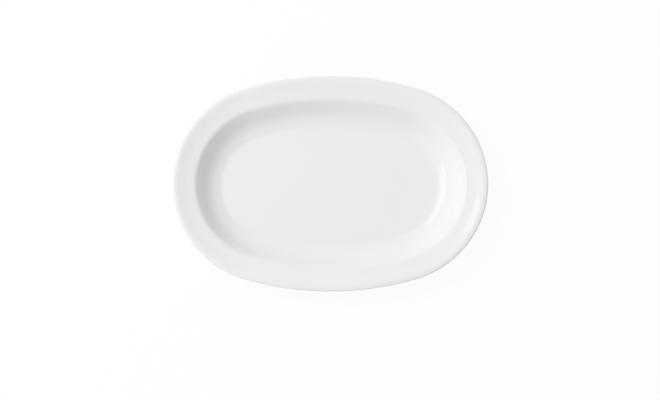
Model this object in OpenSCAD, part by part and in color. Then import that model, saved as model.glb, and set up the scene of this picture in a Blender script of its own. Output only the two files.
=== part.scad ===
// Oval serving platter in glazed white china: a narrow sloping rim with a rolled lip, a deep
// well and a low foot ring. The fired body, the glaze that covers it and the glaze inside the
// foot ring are three solids, each in its own node.
//
// Origin: centre of the foot, on the surface that the platter stands on. +X runs along the
// platter's length, +Y across it, +Z up.

/* [Outline] */
// Overall length, lip to lip
length = 320; // [280:1:400]
// Overall width, lip to lip
width = 221.6; // [190:0.1:260]
// Height of the lip's crest above the table
height = 29; // [25:0.5:36]

/* [Rim] */
// Width of the rim in plan, from the lip's edge to the shoulder of the well
rim_width = 23.7; // [18:0.1:32]
// Slope of the rim beside the well, in degrees
rim_slope = 10; // [6:0.5:15]
// Extra slope of the rim's outer half, in degrees
rim_lift = 5; // [2:0.5:8]
// Radius of the shoulder where the rim turns down into the well
shoulder_r = 8.5; // [3:0.5:12]

/* [Lip] */
// Radius of the rolled top of the lip
roll_r = 12; // [7:0.5:15]
// Slope at which the roll falls away to the edge, in degrees
roll_fall = 5; // [0:1:12]
// Distance in plan from the edge to the corner that the roll rounds off
roll_reach = 4; // [3.4:0.1:6]
// Height of the edge's upright face, corner to corner
edge_height = 3.4; // [2.5:0.1:5]
// Radius of the edge's two corners
edge_r = 1.4; // [0.8:0.05:1.9]

/* [Well] */
// Width of the well's steep wall in plan
wall_run = 13; // [10:0.5:18]
// Width of the gentle toe between the wall and the floor in plan
toe_run = 12.2; // [9.5:0.1:16]
// Slope of the toe, in degrees
toe_slope = 17; // [12:1:24]
// Radius of the curve between the wall and the toe
bowl_r = 28; // [12:1:38]
// Radius of the curve between the toe and the floor
floor_r = 16; // [6:1:30]

/* [Thickness] */
// Thickness of the rim and the wall, glaze included
wall_thickness = 4.6; // [3.6:0.1:6]
// Thickness of the floor, glaze included
floor_thickness = 5.2; // [4:0.1:7]
// Thickness of the glaze
glaze = 0.3; // [0.2:0.05:0.5]

/* [Foot] */
// Distance in plan from the lip's edge to the outside of the foot ring
foot_inset = 46.5; // [44:0.25:49]
// Width of the foot ring at its base
foot_width = 4.5; // [3.6:0.1:6]
// Height of the hollow inside the foot ring
foot_recess = 2.8; // [2.4:0.1:4]
// Lean of the foot ring's two sides, in degrees
foot_draft = 8; // [4:1:14]
// Radius of the foot ring's two lower corners
foot_r = 1; // [0.6:0.1:1.2]
// Radius of the curve where the foot ring meets the underside
foot_fillet = 1.2; // [0.6:0.1:1.4]

/* [Hidden] */
$fn = 360;
grid = 0.001; // coordinates are rounded to this
binary_grid = pow(2, -20); // and then to this, so that adding them up gives no rounding error
sag = 0.01; // how far a chord of the section may lie from its arc

// ---- The outline: a four-arc oval ----
// Each end is an arc about (+-end_x, 0) and each side an arc about (0, -+side_y). They meet at
// seams, on the rays from a side arc's centre through an end arc's centre. Each ray rises 24
// for every 7 along, and hypot(7, 24) = 25, so all the centres and radii are round numbers
// and the two arcs' sections match exactly at the seam.
seam_angle = atan2(24, 7);
oval_unit = neat((length - width) / 12);
end_x = 7 * oval_unit;
side_y = 24 * oval_unit;
end_r = length / 2 - end_x;
side_r = end_r + 25 * oval_unit;
overrun = 5; // degrees that an arc runs past its quarter before it is trimmed

// ---- The cross-section, as [distance outward from the lip's edge, height] ----
// Its corners are those of the finished ware, glaze included.
floor_z = foot_recess + floor_thickness;
lip_slope = rim_slope + rim_lift;
roll_turn = lip_slope + roll_fall;
roll_rise = roll_r * (tan(roll_turn / 2) * sin(lip_slope) + cos(lip_slope) - 1);
rim_middle = (rim_width + roll_reach) / 2;
rim_bend_r = rim_width / 6 / tan(rim_lift / 2);

centre = -length;
roll = [-roll_reach, height + roll_rise];
rim = [-rim_middle, roll[1] - (rim_middle - roll_reach) * tan(lip_slope)];
shoulder = [-rim_width, rim[1] - (rim_width - rim_middle) * tan(rim_slope)];
bowl = [-rim_width - wall_run, floor_z + toe_run * tan(toe_slope)];
toe = [bowl[0] - toe_run, floor_z];

edge_top = [0, roll[1] - roll_reach * tan(roll_fall)];
edge_base = [0, edge_top[1] - edge_height];
under_shoulder = inner_corner(rim, shoulder, bowl, wall_thickness);
under_bowl = inner_corner(shoulder, bowl, toe, wall_thickness);

foot_outer = [-foot_inset, -glaze];
foot_inner = [-foot_inset - foot_width, -glaze];
under_toe = meet(foot_outer, [sin(foot_draft), cos(foot_draft)],
                 under_bowl, [-cos(toe_slope), -sin(toe_slope)]);
recess = [foot_inner[0] - (foot_recess + glaze) * tan(foot_draft), foot_recess];

// ---- Functions ----
function unit(v) = v / norm(v);
function right_of(u) = [u[1], -u[0]];
function turned(u, angle) = [u[0] * cos(angle) - u[1] * sin(angle),
                             u[0] * sin(angle) + u[1] * cos(angle)];
function turn(u, v) = atan2(u[0] * v[1] - u[1] * v[0], u * v);
function neat(x) = round(round(x / grid) * grid / binary_grid) * binary_grid;

// Where the line from p along u meets the line from q along v
function meet(p, u, q, v) =
    p + u * ((q[0] - p[0]) * v[1] - (q[1] - p[1]) * v[0]) / (u[0] * v[1] - u[1] * v[0]);

// The corner at b of the polyline a-b-c, moved in by t from both of its sides
function inner_corner(a, b, c, t) =
    let (m = right_of(unit(b - a)), n = right_of(unit(c - b)))
    b - t * (m + n) / (1 + m * n);

// The corner at b of the polyline a-b-c, rounded to radius r. Each step of the arc is a pair:
// the point, and the outward direction there.
function rounded(a, b, c, r) =
    let (u = unit(b - a), angle = turn(u, unit(c - b)), side = sign(angle),
         count = ceil(abs(angle) / (2 * acos(1 - sag / r))),
         middle = b - u * r * tan(abs(angle) / 2) - side * r * right_of(u))
    [for (i = [0:count])
        let (out = turned(right_of(u), angle * i / count)) [middle + side * r * out, out]];

// The points of a run of such pairs, sunk by depth below the finished surface
function skin(pairs, depth) =
    [for (p = pairs) let (at = p[0] - depth * p[1]) [neat(at[0]), neat(at[1])]];
function reversed(list) = [for (i = [len(list) - 1:-1:0]) list[i]];
function without_ends(list) = [for (i = [1:len(list) - 2]) list[i]];

// ---- The surface, in three runs that share their end points round the section ----
// The foot stays bare, so the glaze stops where its rounded corners start.
foot_run = concat(
    rounded(recess, foot_inner, foot_outer, foot_r),
    rounded(foot_inner, foot_outer, under_toe, foot_r));
base_run = concat(
    [[[centre, foot_recess], [0, -1]]],
    rounded([centre, foot_recess], recess, foot_inner, foot_fillet),
    [foot_run[0]]);
outer_run = concat(
    [foot_run[len(foot_run) - 1]],
    rounded(foot_outer, under_toe, under_bowl, foot_fillet),
    rounded(under_toe, under_bowl, under_shoulder, bowl_r - wall_thickness),
    rounded(under_bowl, under_shoulder, edge_base, shoulder_r + wall_thickness),
    rounded(under_shoulder, edge_base, edge_top, edge_r),
    rounded(edge_base, edge_top, roll, edge_r),
    rounded(edge_top, roll, rim, roll_r),
    rounded(roll, rim, shoulder, rim_bend_r),
    rounded(rim, shoulder, bowl, shoulder_r),
    rounded(shoulder, bowl, toe, bowl_r),
    rounded(bowl, toe, [centre, floor_z], floor_r),
    [[[centre, floor_z], [0, 1]]]);

// ---- Sweeping a section round the oval ----
// The section at radius r about the Z axis, turned from the XZ plane through an angle. What
// would pass the axis is cut off.
module arc_sweep(points, r, angle) {
    rotate_extrude(angle = angle)
        intersection() {
            translate([r, 0]) polygon(points);
            translate([0, -height]) square([2 * side_r, 3 * height]);
        }
}

// A quarter of the oval. Its two arcs are joined with the seam along X and the end arc's
// centre at the origin, then turned and moved into place and trimmed.
module quarter(points) {
    intersection() {
        translate([end_x, 0, 0])
            rotate([0, 0, seam_angle]) {
                arc_sweep(points, end_r, -seam_angle - overrun);
                translate([end_r - side_r, 0, 0])
                    arc_sweep(points, side_r, 90 - seam_angle + overrun);
            }
        translate([0, 0, -height]) cube([length, length, 3 * height]);
    }
}

module sweep(points) {
    for (flip_x = [0, 1], flip_y = [0, 1])
        mirror([flip_x, 0, 0]) mirror([0, flip_y, 0]) quarter(points);
}

// ---- Sub-parts ----
module china_body() {
    color("linen")
        sweep(skin(concat(base_run, without_ends(foot_run), outer_run), glaze));
}

module outer_glaze() {
    color("white")
        sweep(concat(skin(outer_run, 0), reversed(skin(outer_run, glaze))));
}

module base_glaze() {
    color("whitesmoke")
        sweep(concat(skin(base_run, 0), reversed(skin(base_run, glaze))));
}

china_body();
outer_glaze();
base_glaze();
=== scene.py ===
# %% [markdown]
# # A glazed china platter
#
# The object is an oval serving platter: one piece of white china with a clear gloss glaze. It
# has no decoration, so all that the eye gets is form and gloss, and both have to be exact. This
# lesson sweeps the platter's cross-section round its oval with Geometry Nodes, gives the glaze
# and the bare foot their own materials, and lights them as a soft photographic studio would.
#
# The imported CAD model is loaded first. It fixes every size and place, and Blender adds finish.

# %% Load the CAD frame
import math

import bmesh
import bpy
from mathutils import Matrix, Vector
from mathutils.bvhtree import BVHTree


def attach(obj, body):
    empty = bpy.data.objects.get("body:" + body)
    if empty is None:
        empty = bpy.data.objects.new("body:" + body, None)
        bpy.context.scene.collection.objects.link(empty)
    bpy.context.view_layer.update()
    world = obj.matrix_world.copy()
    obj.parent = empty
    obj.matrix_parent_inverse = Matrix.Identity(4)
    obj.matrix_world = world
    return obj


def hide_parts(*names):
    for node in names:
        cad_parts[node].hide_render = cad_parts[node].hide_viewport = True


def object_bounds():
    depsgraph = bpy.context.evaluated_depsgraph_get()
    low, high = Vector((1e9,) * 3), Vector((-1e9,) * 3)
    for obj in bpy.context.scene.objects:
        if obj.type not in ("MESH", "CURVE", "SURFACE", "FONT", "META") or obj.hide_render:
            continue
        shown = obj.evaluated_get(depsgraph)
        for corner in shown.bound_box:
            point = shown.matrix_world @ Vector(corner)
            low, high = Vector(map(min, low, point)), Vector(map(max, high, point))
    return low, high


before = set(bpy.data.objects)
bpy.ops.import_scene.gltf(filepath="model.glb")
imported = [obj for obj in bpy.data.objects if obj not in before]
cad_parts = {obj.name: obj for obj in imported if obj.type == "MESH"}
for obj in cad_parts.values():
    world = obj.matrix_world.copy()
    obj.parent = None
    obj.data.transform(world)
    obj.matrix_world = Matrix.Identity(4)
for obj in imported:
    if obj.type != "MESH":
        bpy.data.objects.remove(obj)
cad_low, cad_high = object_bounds()
print("CAD nodes:", sorted(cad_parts))
print("CAD size in mm:", [round(1000 * (b - a), 2) for a, b in zip(cad_low, cad_high)])

# %% [markdown]
# ## Two helpers
#
# Colours are picked on a screen, so they are written as sRGB hex and turned into the
# linear numbers that a renderer counts in. Node trees are built by one small function, which
# adds a node, sets its properties, and fills its sockets with values or links.


# %% Helpers for colours and nodes
def linear(hex_colour):
    """An sRGB colour such as "#ECECEC", as linear red, green, blue and alpha."""
    parts = [int(hex_colour[i:i + 2], 16) / 255 for i in (1, 3, 5)]
    return [c / 12.92 if c <= 0.04045 else ((c + 0.055) / 1.055) ** 2.4 for c in parts] + [1]


def add(tree, kind, sockets=None, **settings):
    """A new node. sockets gives each input, by name or number, a value or an output."""
    node = tree.nodes.new(kind)
    for name, value in settings.items():
        setattr(node, name, value)
    for name, value in (sockets or {}).items():
        if isinstance(value, bpy.types.NodeSocket):
            tree.links.new(value, node.inputs[name])
        else:
            node.inputs[name].default_value = value
    return node


print("white china as linear colour:", [round(c, 3) for c in linear("#ECECEC")])

# %% [markdown]
# ## The camera
#
# The photographer stood over the long side of the platter and looked almost straight down, from
# far away: the rim looks the same width all round, and the floor of the well sits only a few
# pixels low against the lip. Those marks are the image points below, and the camera's tilt,
# distance and aim are settled by them. A long lens far off keeps the perspective as flat.

# %% The photograph's marks
W, H = 660, 400
MARKS = {
    "left": (171.7, None), "right": (488.0, None), "top": (None, 76.4), "bottom": (None, 291.7),
    "shoulder_left": (195.8, 183.2), "shoulder_right": (464.5, 183.2),
    "shoulder_top": (330.0, 100.0), "shoulder_bottom": (330.0, 268.0),
    "floor_left": (222.0, 186.0), "floor_right": (439.7, 186.0),
    "floor_top": (330.0, 125.5), "floor_bottom": (330.0, 245.5),
}
print(len(MARKS), "marks in a picture of", W, "by", H, "pixels")

# %% The camera
TILT = math.radians(80)  # above the horizon
LENS, SENSOR_WIDTH = 100, 36  # in mm, as camera makers give them
DISTANCE = 1.865  # metres from the aim, and the rest of the lesson counts in metres too
AIM = Vector((-0.00005, -0.0155, 0.014))
FAR_LIMIT = 50  # nothing beyond this is drawn

camera = bpy.data.objects.new("camera", bpy.data.cameras.new("camera"))
bpy.context.collection.objects.link(camera)
camera.data.sensor_fit = "AUTO"
camera.data.sensor_width = SENSOR_WIDTH
camera.data.lens = LENS
camera.data.clip_end = FAR_LIMIT
camera.location = AIM + DISTANCE * Vector((0, -math.cos(TILT), math.sin(TILT)))
camera.rotation_euler = (math.pi / 2 - TILT, 0, 0)
bpy.context.scene.camera = camera
bpy.context.view_layer.update()
print("camera at", [round(v, 3) for v in camera.location], "m")

# %% [markdown]
# ## The cross-section
#
# A platter like this is pressed between a mould and a rolling tool, so one cross-section is
# true all the way round. It is written as the corners of a polyline, each with the radius that
# rounds it, in the same sizes as the CAD source: distance outward from the lip's edge, and
# height above the table. The glaze coat's inner side is the same line moved in by the glaze.
#
# From outside to inside, the top of the section goes over the roll of the lip and down the rim,
# which is a little steeper on its outer half. At the shoulder it turns down the well's steep
# wall, and at the bowl on to a gentle toe, which runs out on to the flat floor.

# %% Sizes of the section
MM = 0.001
LENGTH, WIDTH, HEIGHT = (b - a for a, b in zip(cad_low, cad_high))
RIM_WIDTH, SHOULDER_R = 23.7 * MM, 8.5 * MM
RIM_SLOPE, RIM_LIFT = math.radians(10), math.radians(5)  # lift: more slope on the outer half
RIM_BEND_R = RIM_WIDTH / 6 / math.tan(RIM_LIFT / 2)
ROLL_R, ROLL_FALL, ROLL_REACH = 12 * MM, math.radians(5), 4 * MM
EDGE_HEIGHT, EDGE_R = 3.4 * MM, 1.4 * MM
WALL_RUN, TOE_RUN, TOE_SLOPE = 13 * MM, 12.2 * MM, math.radians(17)
BOWL_R, FLOOR_R = 28 * MM, 16 * MM
WALL, FLOOR, GLAZE = 4.6 * MM, 5.2 * MM, 0.3 * MM  # the thickness of each
BEAD_R = 0.4 * GLAZE  # the glaze's rounded end beside the foot
FOOT_INSET, FOOT_WIDTH, FOOT_RECESS = 46.5 * MM, 4.5 * MM, 2.8 * MM
FOOT_DRAFT, FOOT_R, FOOT_FILLET = math.radians(8), 1 * MM, 1.2 * MM
FLAT_INSET = 56 * MM  # where the section ends, on the flat floor
FLOOR_Z = FOOT_RECESS + FLOOR
print("the floor's top is", round(FLOOR_Z / MM, 2), "mm above the table")


# %% Helpers for corners
def along(angle):
    """A unit step outward and up at an angle."""
    return Vector((math.cos(angle), math.sin(angle)))


def right_of(step):
    """The same step, turned a quarter to the right."""
    return Vector((step.y, -step.x))


def moved_in(a, b, c, depth):
    """The corner at b of the line a-b-c, moved in by depth from both sides."""
    m, n = right_of((b - a).normalized()), right_of((c - b).normalized())
    return b - depth * (m + n) / (1 + m.dot(n))


def crossing(p, u, q, v):
    """Where the line from p along u meets the line from q along v."""
    gap = q - p
    return p + u * (gap.x * v.y - gap.y * v.x) / (u.x * v.y - u.y * v.x)


print("a step at 30 degrees is", [round(v, 3) for v in along(math.radians(30))])

# %% The section's corners
LIP_SLOPE = RIM_SLOPE + RIM_LIFT
ROLL_TURN = LIP_SLOPE + ROLL_FALL
# Rounding takes this much off the roll's corner, so that its crest is at the full height.
roll_rise = ROLL_R * (math.tan(ROLL_TURN / 2) * math.sin(LIP_SLOPE) + math.cos(LIP_SLOPE) - 1)
roll = Vector((-ROLL_REACH, HEIGHT + roll_rise))
rim_middle = (RIM_WIDTH + ROLL_REACH) / 2
rim = roll - Vector((1, math.tan(LIP_SLOPE))) * (rim_middle - ROLL_REACH)
shoulder = rim - Vector((1, math.tan(RIM_SLOPE))) * (RIM_WIDTH - rim_middle)
bowl = Vector((-RIM_WIDTH - WALL_RUN, FLOOR_Z + TOE_RUN * math.tan(TOE_SLOPE)))
toe = Vector((bowl.x - TOE_RUN, FLOOR_Z))
edge_top = Vector((0, roll.y - ROLL_REACH * math.tan(ROLL_FALL)))
edge_base = edge_top - Vector((0, EDGE_HEIGHT))
under_shoulder = moved_in(rim, shoulder, bowl, WALL)
under_bowl = moved_in(shoulder, bowl, toe, WALL)
foot_outer = Vector((-FOOT_INSET, -GLAZE))
foot_inner = foot_outer - Vector((FOOT_WIDTH, 0))
foot_up = along(math.pi / 2 - FOOT_DRAFT)
under_toe = crossing(foot_outer, foot_up, under_bowl, -along(TOE_SLOPE))
recess = foot_inner + (FOOT_RECESS + GLAZE) * Vector((-math.tan(FOOT_DRAFT), 1))
print("shoulder of the well at", [round(v / MM, 2) for v in shoulder], "mm")
print("edge of the lip at", [round(v / MM, 2) for v in edge_top], "mm")

# %% [markdown]
# ## From corners to a section
#
# The glaze stops just above the bare foot, in a thin rounded bead. So a coat's section runs
# along the outside, turns at the foot, and comes back 0.3 mm deeper. It starts and ends on the
# flat of the floor or the base, where a disc will close it. It becomes a row of points joined
# by edges, each with its corner's radius and steps stored on it, for Geometry Nodes to read.


# %% Turn corners into a section
# A rounded corner is cut into this many steps: more where it catches the light, and fewer
# where it bends little. A sharp corner has no radius and one step.
FINE_STEPS, STEPS, FEW_STEPS = 10, 8, 4
SHARP = (0, 1)


def coat_section(name, outside):
    """A coat's section as a mesh line. outside lists (corner, radius, steps), travelled with
    the china on the left, so a left turn is a corner that stands out."""
    corners = [corner for corner, radius, steps in outside]
    first_in = -GLAZE * right_of((corners[1] - corners[0]).normalized())
    last_in = -GLAZE * right_of((corners[-1] - corners[-2]).normalized())
    inside = [(corners[0] + first_in, *SHARP)]
    for a, (b, radius, steps), c in zip(corners, outside[1:-1], corners[2:]):
        # A corner that stands out is tighter under the glaze, and a hollow one is wider.
        sunk = math.copysign(GLAZE, (b - a).cross(c - b))
        inside.append((moved_in(a, b, c, GLAZE), radius - sunk, max(2, steps // 2)))
    inside.append((corners[-1] + last_in, *SHARP))
    from_foot = corners[0].x > corners[-1].x
    foot_end = 0 if from_foot else -1
    for side in (outside, inside):
        side[foot_end] = (side[foot_end][0], BEAD_R, FEW_STEPS)
    # Each loop starts on the flat, along the coat's upper side, and comes back from the foot
    # along its lower side, so that the swept faces point outwards.
    loop = outside[::-1] + inside if from_foot else inside + outside[::-1]
    mesh = bpy.data.meshes.new(name)
    mesh.from_pydata([(corner.x, 0, corner.y) for corner, radius, steps in loop],
                     [(i, i + 1) for i in range(len(loop) - 1)], [])
    for attribute, kind, place in (("corner_radius", "FLOAT", 1), ("corner_steps", "INT", 2)):
        mesh.attributes.new(attribute, kind, "POINT")
        mesh.attributes[attribute].data.foreach_set("value", [point[place] for point in loop])
    return mesh


def foot_side(corner, step):
    """Where the foot's rounded corner ends and its straight side begins."""
    return corner + step * FOOT_R * math.tan((math.pi / 2 - FOOT_DRAFT) / 2)


print("the bead at the glaze's end has a radius of", round(BEAD_R / MM, 2), "mm")

# %% The two glazed sections
foot_in = along(math.pi / 2 + FOOT_DRAFT)
outer_section = coat_section("outer_section", [
    (foot_side(foot_outer, foot_up), *SHARP), (under_toe, FOOT_FILLET, STEPS),
    (under_bowl, BOWL_R - WALL, STEPS), (under_shoulder, SHOULDER_R + WALL, STEPS),
    (edge_base, EDGE_R, STEPS), (edge_top, EDGE_R, FINE_STEPS), (roll, ROLL_R, STEPS),
    (rim, RIM_BEND_R, FEW_STEPS), (shoulder, SHOULDER_R, FINE_STEPS),
    (bowl, BOWL_R, STEPS), (toe, FLOOR_R, STEPS), (Vector((-FLAT_INSET, FLOOR_Z)), *SHARP)])
base_section = coat_section("base_section", [
    (Vector((-FLAT_INSET, FOOT_RECESS)), *SHARP), (recess, FOOT_FILLET, STEPS),
    (foot_side(foot_inner, foot_in), *SHARP)])
for mesh in (outer_section, base_section):
    print(mesh.name, "has", len(mesh.vertices), "corners")

# %% [markdown]
# ## The oval
#
# The platter's plan is an oval of four arcs: a round end at the left and right, and a flatter
# arc along each side. Where two arcs meet, their centres are in line with the meeting point, so
# the outline stays smooth. All sections stand square to that outline. This gives a rule for
# every point: take the direction that it faces, find the arc for that direction, and go out
# from the arc's centre by the arc's radius and the section's own distance.
#
# Geometry Nodes hold that rule. The tree rounds the section's corners with Fillet Curve, makes
# a cylinder with as many rings as the section has points, and sends each ring's vertices to
# their places. The cylinder's two caps become the discs that close the floor.

# %% The sweep's inputs
sweep = bpy.data.node_groups.new("sweep_round_the_oval", "GeometryNodeTree")
for name, kind in (("Section", "Geometry"), ("Length", "Float"), ("Width", "Float"),
                   ("Stations", "Int"), ("Finish", "Material")):
    sweep.interface.new_socket(name, in_out="INPUT", socket_type="NodeSocket" + kind)
sweep.interface.new_socket("Piece", in_out="OUTPUT", socket_type="NodeSocketGeometry")


def maths(operation, *values, kind="ShaderNodeMath"):
    """The result of one sum in the sweep's tree."""
    return add(sweep, kind, dict(enumerate(values)), operation=operation).outputs[0]


asked = add(sweep, "NodeGroupInput").outputs
print("the sweep asks for", [socket.name for socket in asked if socket.name])

# %% Round the section, and make a tube with a ring for each of its points
corner_radius = add(sweep, "GeometryNodeInputNamedAttribute", {"Name": "corner_radius"},
                    data_type="FLOAT")
corner_steps = add(sweep, "GeometryNodeInputNamedAttribute", {"Name": "corner_steps"},
                   data_type="INT")
section = add(sweep, "GeometryNodeMeshToCurve", {"Mesh": asked["Section"]})
section = add(sweep, "GeometryNodeFilletCurve", {
    "Curve": section.outputs[0], "Radius": corner_radius.outputs[0],
    "Count": corner_steps.outputs[0], "Limit Radius": True}, mode="POLY")
section = add(sweep, "GeometryNodeCurveToMesh", {"Curve": section.outputs[0]}).outputs[0]
rings = add(sweep, "GeometryNodeAttributeDomainSize", {0: section},
            component="MESH").outputs[0]
tube = add(sweep, "GeometryNodeMeshCylinder", {
    "Vertices": asked["Stations"],
    "Side Segments": maths("SUBTRACT", rings, 1, kind="FunctionNodeIntegerMath")},
    fill_type="NGON").outputs[0]
print("with the tube, the sweep has", len(sweep.nodes), "nodes")

# %% Which point of the section each vertex stands for, and which way it faces
index = add(sweep, "GeometryNodeInputIndex").outputs[0]
ring = maths("DIVIDE", index, asked["Stations"], kind="FunctionNodeIntegerMath")
station = maths("MODULO", index, asked["Stations"], kind="FunctionNodeIntegerMath")
facing = maths("DIVIDE", maths("MULTIPLY", station, math.tau), asked["Stations"])
across, up = maths("COSINE", facing), maths("SINE", facing)
position = add(sweep, "GeometryNodeInputPosition").outputs[0]
corner = add(sweep, "GeometryNodeSampleIndex", {
    "Geometry": section, "Index": ring, "Value": position},
    data_type="FLOAT_VECTOR", domain="POINT").outputs[0]
on_section = add(sweep, "ShaderNodeSeparateXYZ", {0: corner}).outputs
print("with the directions, the sweep has", len(sweep.nodes), "nodes")

# %% The four arcs, and the vertex's place
# The end arcs' centres lie 7 parts from the middle and the side arcs' centres 24 parts. They
# are 25 parts from each other, because 7, 24 and 25 make a right-angled triangle.
END, SIDE, BETWEEN = 7, 24, 25
PARTS = 2 * (END + SIDE - BETWEEN)  # in the difference between length and width
part = maths("DIVIDE", maths("SUBTRACT", asked["Length"], asked["Width"]), PARTS)
end_radius = maths("MULTIPLY_ADD", part, -END, maths("MULTIPLY", asked["Length"], 0.5))
is_side = maths("GREATER_THAN", maths("ABSOLUTE", up), SIDE / BETWEEN)
is_end = maths("SUBTRACT", 1, is_side)
arc_radius = maths("MULTIPLY_ADD", maths("MULTIPLY", part, BETWEEN), is_side, end_radius)
radius = maths("ADD", arc_radius, on_section["X"])
middle_x = maths("MULTIPLY", maths("MULTIPLY", part, END),
                 maths("MULTIPLY", is_end, maths("SIGN", across)))
middle_y = maths("MULTIPLY", maths("MULTIPLY", part, -SIDE),
                 maths("MULTIPLY", is_side, maths("SIGN", up)))
place = add(sweep, "ShaderNodeCombineXYZ", {
    "X": maths("MULTIPLY_ADD", radius, across, middle_x),
    "Y": maths("MULTIPLY_ADD", radius, up, middle_y), "Z": on_section["Z"]})
shell = add(sweep, "GeometryNodeSetPosition", {"Geometry": tube, "Position": place.outputs[0]})
shell = add(sweep, "GeometryNodeSetShadeSmooth", {"Geometry": shell.outputs[0]})
shell = add(sweep, "GeometryNodeRealizeInstances", {"Geometry": shell.outputs[0]})
shell = add(sweep, "GeometryNodeSetMaterial", {
    "Geometry": shell.outputs[0], "Material": asked["Finish"]})
add(sweep, "NodeGroupOutput", {0: shell.outputs[0]})
print("the sweep has", len(sweep.nodes), "nodes")

# %% [markdown]
# ## The glaze
#
# China is white clay fired hard, then dipped in a clear glaze and fired again. The glaze melts
# to glass: it is smooth and bright, but it settles unevenly by hundredths of a millimetre, and
# that faint waviness is what bends the edge of a reflection on real china. So the material is
# an off-white with the gloss of glass, a slow wave of 30 mm for the slumped clay, a shorter one
# of 5 mm for the glaze, and a roughness that drifts a little, as wiping leaves it.


# %% The glazed china's material
def pattern(tree, wavelength, detail, place):
    """A noise in the piece's own coordinates, with waves about this long."""
    return add(tree, "ShaderNodeTexNoise", {
        "Vector": place, "Scale": 1 / wavelength, "Detail": detail}).outputs[0]


def start_material(name):
    """A new material with an empty tree, and that tree."""
    made = bpy.data.materials.new(name)
    made.use_nodes = True
    made.node_tree.nodes.clear()
    return made, made.node_tree


GLASS_IOR = 1.5  # of glaze, and close to that of fired clay
SLUMP_WAVE, SLUMP_DEPTH = 30 * MM, 0.05 * MM
GLAZE_WAVE, GLAZE_DEPTH = 5 * MM, 0.006 * MM
WIPING_WAVE, SMOOTHEST, DULLEST = 40 * MM, 0.05, 0.09
TINT_WAVE = 70 * MM

glaze, tree = start_material("clear_gloss_glaze_on_white_china")
place = add(tree, "ShaderNodeTexCoord").outputs["Object"]
slump = add(tree, "ShaderNodeBump", {
    "Height": pattern(tree, SLUMP_WAVE, 1, place), "Distance": SLUMP_DEPTH})
settled = add(tree, "ShaderNodeBump", {
    "Height": pattern(tree, GLAZE_WAVE, 2, place), "Distance": GLAZE_DEPTH,
    "Normal": slump.outputs[0]})
wiped = add(tree, "ShaderNodeMapRange", {
    "Value": pattern(tree, WIPING_WAVE, 3, place), "To Min": SMOOTHEST, "To Max": DULLEST})
tint = add(tree, "ShaderNodeMix", {
    0: pattern(tree, TINT_WAVE, 2, place), 6: linear("#ECECEC"), 7: linear("#EEEEEE")},
    data_type="RGBA")
surface = add(tree, "ShaderNodeBsdfPrincipled", {
    "Base Color": tint.outputs[2], "Roughness": wiped.outputs[0], "IOR": GLASS_IOR,
    "Normal": settled.outputs[0]})
add(tree, "ShaderNodeOutputMaterial", {"Surface": surface.outputs[0]})
print(glaze.name, "has", len(tree.nodes), "nodes")

# %% [markdown]
# ## The bare foot
#
# The platter stood on its foot ring in the kiln, so the ring was wiped clean of glaze, which
# would have stuck. It shows the fired clay: a little creamier than the glazed white, dull, with
# a fine grain, and greyer where it has been slid over tables.

# %% The bare fired clay's material
GRAIN_WAVE, GRAIN_DEPTH = 0.4 * MM, 0.03 * MM
RUBBED_WAVE, RUBBED_FROM, RUBBED_TO = 9 * MM, 0.5, 0.7  # the noise runs from 0 to 1
CLAY_ROUGHNESS = 0.75

biscuit, tree = start_material("bare_fired_china")
place = add(tree, "ShaderNodeTexCoord").outputs["Object"]
grain = add(tree, "ShaderNodeBump", {
    "Height": pattern(tree, GRAIN_WAVE, 3, place), "Distance": GRAIN_DEPTH})
rubbed = add(tree, "ShaderNodeMapRange", {
    "Value": pattern(tree, RUBBED_WAVE, 5, place),
    "From Min": RUBBED_FROM, "From Max": RUBBED_TO})
tint = add(tree, "ShaderNodeMix", {
    0: rubbed.outputs[0], 6: linear("#DAD3C6"), 7: linear("#C4BEB3")}, data_type="RGBA")
surface = add(tree, "ShaderNodeBsdfPrincipled", {
    "Base Color": tint.outputs[2], "Roughness": CLAY_ROUGHNESS, "IOR": GLASS_IOR,
    "Normal": grain.outputs[0]})
add(tree, "ShaderNodeOutputMaterial", {"Surface": surface.outputs[0]})
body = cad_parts["china_body"]
body.data.materials.clear()
body.data.materials.append(biscuit)
print(biscuit.name, "is on", body.name)

# %% [markdown]
# ## The two glaze coats
#
# The outer coat covers all that is seen from above and the sides, and the base coat fills the
# hollow inside the foot ring. Each takes the place of a CAD node. The tree's result is copied
# to a plain mesh, and the modifier is taken off.


# %% Sweep a section
STATIONS = 480  # steps round the oval, one for every 0.75 degrees that its edge turns


def swept(name, section):
    """A section swept round the oval, as a plain mesh."""
    piece = bpy.data.objects.new(name, section)
    bpy.context.collection.objects.link(piece)
    modifier = piece.modifiers.new("sweep", "NODES")
    modifier.node_group = sweep
    sockets = {item.name: item.identifier for item in sweep.interface.items_tree}
    for socket, value in (("Length", LENGTH), ("Width", WIDTH), ("Stations", STATIONS),
                          ("Finish", glaze)):
        modifier[sockets[socket]] = value
    depsgraph = bpy.context.evaluated_depsgraph_get()
    solid = bpy.data.meshes.new_from_object(piece.evaluated_get(depsgraph))
    piece.modifiers.clear()
    piece.data = solid
    solid.name = name
    bpy.data.meshes.remove(section)
    return piece


outer_coat = swept("china_outer_glaze", outer_section)
base_coat = swept("china_base_glaze", base_section)
print("the coats have", len(outer_coat.data.vertices), "and", len(base_coat.data.vertices),
      "vertices")


# %% Put the coats on the platter, and check that they are closed
def open_edges_and_volume(piece):
    """How many edges of a piece don't join exactly two faces, and the piece's volume."""
    checked = bmesh.new()
    checked.from_mesh(piece.data)
    count = sum(len(edge.link_faces) != 2 for edge in checked.edges)
    volume = checked.calc_volume(signed=True)
    checked.free()
    return count, volume


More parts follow.
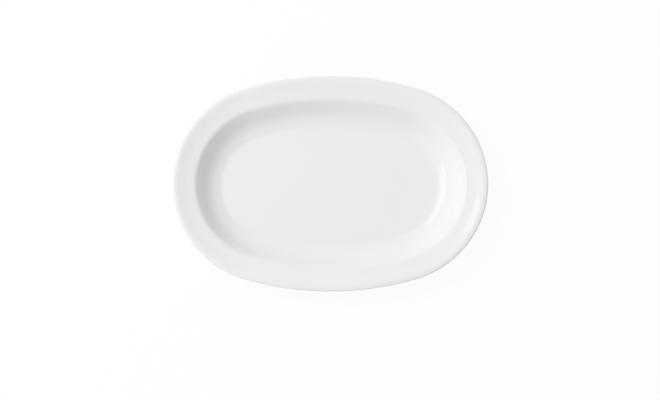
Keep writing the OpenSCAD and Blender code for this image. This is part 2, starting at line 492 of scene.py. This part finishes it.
for piece, node in ((outer_coat, "outer_glaze"), (base_coat, "base_glaze")):
    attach(piece, "root")
    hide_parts(node)
    count, volume = open_edges_and_volume(piece)
    print(piece.name, len(piece.data.polygons), "faces,", count, "open edges,",
          round(volume / MM ** 3), "cubic mm of glaze")

# %% [markdown]
# ## The studio
#
# The platter lies on a white table. A soft box stands to the left and a little behind, about
# half way up, and the room's own soft light comes from in front and behind, from above, and
# more from the left than from the right. The places and levels of these lights were found by
# matching the tones all over the well, the wall and the rim with the photograph's.
#
# A lamp that shows in the glaze makes a bright band where a curve turns towards it: low on the
# right wall of the well, along the shoulder and along the lip. In the photograph those bands
# are thin, taper at their ends, and are pale rather than glaring. So the soft box is made as
# two lamps: a strong square one that lights the china without showing in it, and a weaker,
# narrow oval that also shows. A pale card low on the right does the opposite: it only shows in
# the glaze, as a faint lighter patch on the dark left wall.
#
# The photograph's background is pure white, so the table and the room show as white to the
# camera and in reflections, without any more light on the china. The table keeps a little of
# its own lit surface too, so that the platter's shadow still shows on it. The view transform is
# Standard, because it leaves a colour as it is written.

# %% The table
TABLE_GLOW = 0.93  # the share of the table's look that is plain white
TABLE_REACH = 3  # metres from the platter to each of the table's sides


def seen_or_reflected(tree):
    """1 for a ray from the camera, or one that gloss or glass sends on, and 0 for the rest."""
    rays = add(tree, "ShaderNodeLightPath").outputs
    gloss = add(tree, "ShaderNodeMath", {0: rays["Is Camera Ray"], 1: rays["Is Glossy Ray"]},
                operation="MAXIMUM")
    return add(tree, "ShaderNodeMath", {0: gloss.outputs[0], 1: rays["Is Transmission Ray"]},
               operation="MAXIMUM").outputs[0]


table_paint, tree = start_material("white_table_top")
lit = add(tree, "ShaderNodeBsdfDiffuse", {"Color": linear("#F7F7F7")})
white = add(tree, "ShaderNodeEmission", {"Strength": 1})
share = add(tree, "ShaderNodeMath", {0: seen_or_reflected(tree), 1: TABLE_GLOW},
            operation="MULTIPLY")
mixed = add(tree, "ShaderNodeMixShader", {
    0: share.outputs[0], 1: lit.outputs[0], 2: white.outputs[0]})
add(tree, "ShaderNodeOutputMaterial", {"Surface": mixed.outputs[0]})

table_mesh = bpy.data.meshes.new("table")
table_mesh.from_pydata([(x * TABLE_REACH, y * TABLE_REACH, 0)
                        for x, y in ((-1, -1), (1, -1), (1, 1), (-1, 1))], [], [(0, 1, 2, 3)])
table_mesh.materials.append(table_paint)
table = bpy.data.objects.new("table", table_mesh)
bpy.context.collection.objects.link(table)
print("the table is", round(table.dimensions.x, 1), "m wide")

# %% The room's light
# How much each direction adds: the left, the front and back, and above. A direction's parts
# are squared, so that the front and the back count the same.
ROOM_LEFT, ROOM_FRONT_AND_BACK, ROOM_ABOVE = 0.49, 0.72, 0.4
room = bpy.data.worlds.new("room")
room.use_nodes = True
room.node_tree.nodes.clear()
tree = room.node_tree
toward = add(tree, "ShaderNodeTexCoord").outputs["Generated"]
squared = add(tree, "ShaderNodeVectorMath", {0: toward, 1: toward}, operation="MULTIPLY")
around = add(tree, "ShaderNodeVectorMath", {
    0: squared.outputs[0], 1: (0, ROOM_FRONT_AND_BACK, ROOM_ABOVE)}, operation="DOT_PRODUCT")
sideways = add(tree, "ShaderNodeMapRange", {
    "Value": add(tree, "ShaderNodeSeparateXYZ", {0: toward}).outputs["X"],
    "From Min": -1, "From Max": 1, "To Min": ROOM_LEFT, "To Max": 0})
level = add(tree, "ShaderNodeMath", {0: around.outputs["Value"], 1: sideways.outputs[0]},
            operation="ADD")
level = add(tree, "ShaderNodeMix", {
    0: seen_or_reflected(tree), 2: level.outputs[0], 3: 1}, data_type="FLOAT")
walls = add(tree, "ShaderNodeBackground", {
    "Color": linear("#FFFFFF"), "Strength": level.outputs[0]})
add(tree, "ShaderNodeOutputWorld", {"Surface": walls.outputs[0]})
bpy.context.scene.world = room
print("the room's light has", len(tree.nodes), "nodes")

# %% The soft box's two lamps and the pale card
LAMP_DISTANCE = 2  # metres from the middle of the platter's foot


def flat_lamp(name, azimuth, height, size, level, oval=False):
    """A lamp that faces the platter. Its direction is in degrees, and it is as bright as level
    times white."""
    wide, tall = size
    made = bpy.data.lights.new(name, "AREA")
    made.shape = "ELLIPSE" if oval else "RECTANGLE"
    made.size, made.size_y = wide, tall
    area = wide * tall * (math.pi / 4 if oval else 1)
    made.energy = level * math.pi * area
    lamp = bpy.data.objects.new(name, made)
    across = math.cos(math.radians(height))
    toward_lamp = Vector((math.cos(math.radians(azimuth)) * across,
                          math.sin(math.radians(azimuth)) * across,
                          math.sin(math.radians(height))))
    lamp.location = toward_lamp * LAMP_DISTANCE
    lamp.rotation_euler = (-toward_lamp).to_track_quat("-Z", "Y").to_euler()
    bpy.context.collection.objects.link(lamp)
    print(name, "gives", round(made.energy, 1), "W from", [round(v, 2) for v in lamp.location])
    return lamp


soft_box = flat_lamp("soft_box", azimuth=157, height=47, size=(1, 1), level=5.45)
soft_box.visible_glossy = False
flat_lamp("soft_box_that_shows", azimuth=151, height=59, size=(1.4, 0.5), level=1.65,
          oval=True)
card = flat_lamp("pale_card", azimuth=2, height=6, size=(2.7, 0.5), level=0.35)
card.visible_diffuse = False

# %% Colours as they are written
bpy.context.scene.view_settings.view_transform = "Standard"
print("view transform:", bpy.context.scene.view_settings.view_transform)

# %% [markdown]
# ## Checking against the photograph
#
# The camera's marks are checked on the finished platter. Each edge of the outline is measured
# at the vertices that the camera really sees, and each mark on the shoulder or the floor is
# followed from the camera to the china, to say how far in from the lip it lies.

# %% Between the picture and the platter
L = max(W, H)
SLACK = 0.2 * MM  # so that a vertex isn't hidden by the faces that it belongs to


def faces_of(piece):
    """A piece's faces, in a form that a ray can be aimed at."""
    return BVHTree.FromPolygons([v.co for v in piece.data.vertices],
                                [face.vertices for face in piece.data.polygons])


bpy.context.view_layer.update()
eye = camera.matrix_world.translation.copy()
to_camera = camera.matrix_world.inverted()
outer_faces, base_faces = faces_of(outer_coat), faces_of(base_coat)


def image_point(point):
    """Where a point of the scene shows, in pixels from the picture's top left corner."""
    local = to_camera @ point
    focal = L * camera.data.lens / camera.data.sensor_width
    return (W / 2 + (local.x / -local.z) * focal - camera.data.shift_x * L,
            H / 2 - (local.y / -local.z) * focal + camera.data.shift_y * L)


def on_china(x, y):
    """The place on the outer coat that shows at a pixel, or the nearest one to its ray."""
    ray = Vector((x - W / 2 + camera.data.shift_x * L, H / 2 - y + camera.data.shift_y * L,
                  -L * camera.data.lens / camera.data.sensor_width))
    ray = (camera.matrix_world.to_3x3() @ ray).normalized()
    hit = outer_faces.ray_cast(eye, ray)[0]
    if hit is None:
        middle = eye + ray * (Vector((0, 0, HEIGHT / 2)) - eye).dot(ray)
        hit = outer_faces.find_nearest(middle)[0]
    return hit


def shows(point):
    """Whether nothing of the platter stands between a point and the camera."""
    away = point - eye
    reach = away.length - SLACK
    return all(faces.ray_cast(eye, away.normalized(), reach)[0] is None
               for faces in (outer_faces, base_faces))


print("the aim shows at", [round(v, 1) for v in image_point(AIM)])

# %% The outline that the camera sees
seen = [image_point(v.co) for v in outer_coat.data.vertices if shows(v.co)]
edges = {"left": min(x for x, y in seen), "right": max(x for x, y in seen),
         "top": min(y for x, y in seen), "bottom": max(y for x, y in seen)}
print(len(seen), "vertices show; the outline runs", {k: round(v, 1) for k, v in edges.items()})

# %% How far each mark is from its place
OUTWARD = {"left": Vector((-1, 0)), "right": Vector((1, 0)),
           "top": Vector((0, 1)), "bottom": Vector((0, -1))}
RING_INSETS = {"shoulder": -shoulder.x, "floor": -toe.x}
for mark, (x, y) in MARKS.items():
    if mark in edges:
        continue
    ring_name, side = mark.split("_")
    out = OUTWARD[side]
    lip = (LENGTH if out.x else WIDTH) / 2
    reach = lip - RING_INSETS[ring_name]
    above = Vector((out.x * reach, out.y * reach, 1))
    ring_place = outer_faces.ray_cast(above, Vector((0, 0, -1)))[0]
    hit = on_china(x, y)
    print(mark, "lies", round((lip - hit.xy.dot(out)) / MM, 1), "mm in from the lip;",
          "the section has it at", round(RING_INSETS[ring_name] / MM, 1))
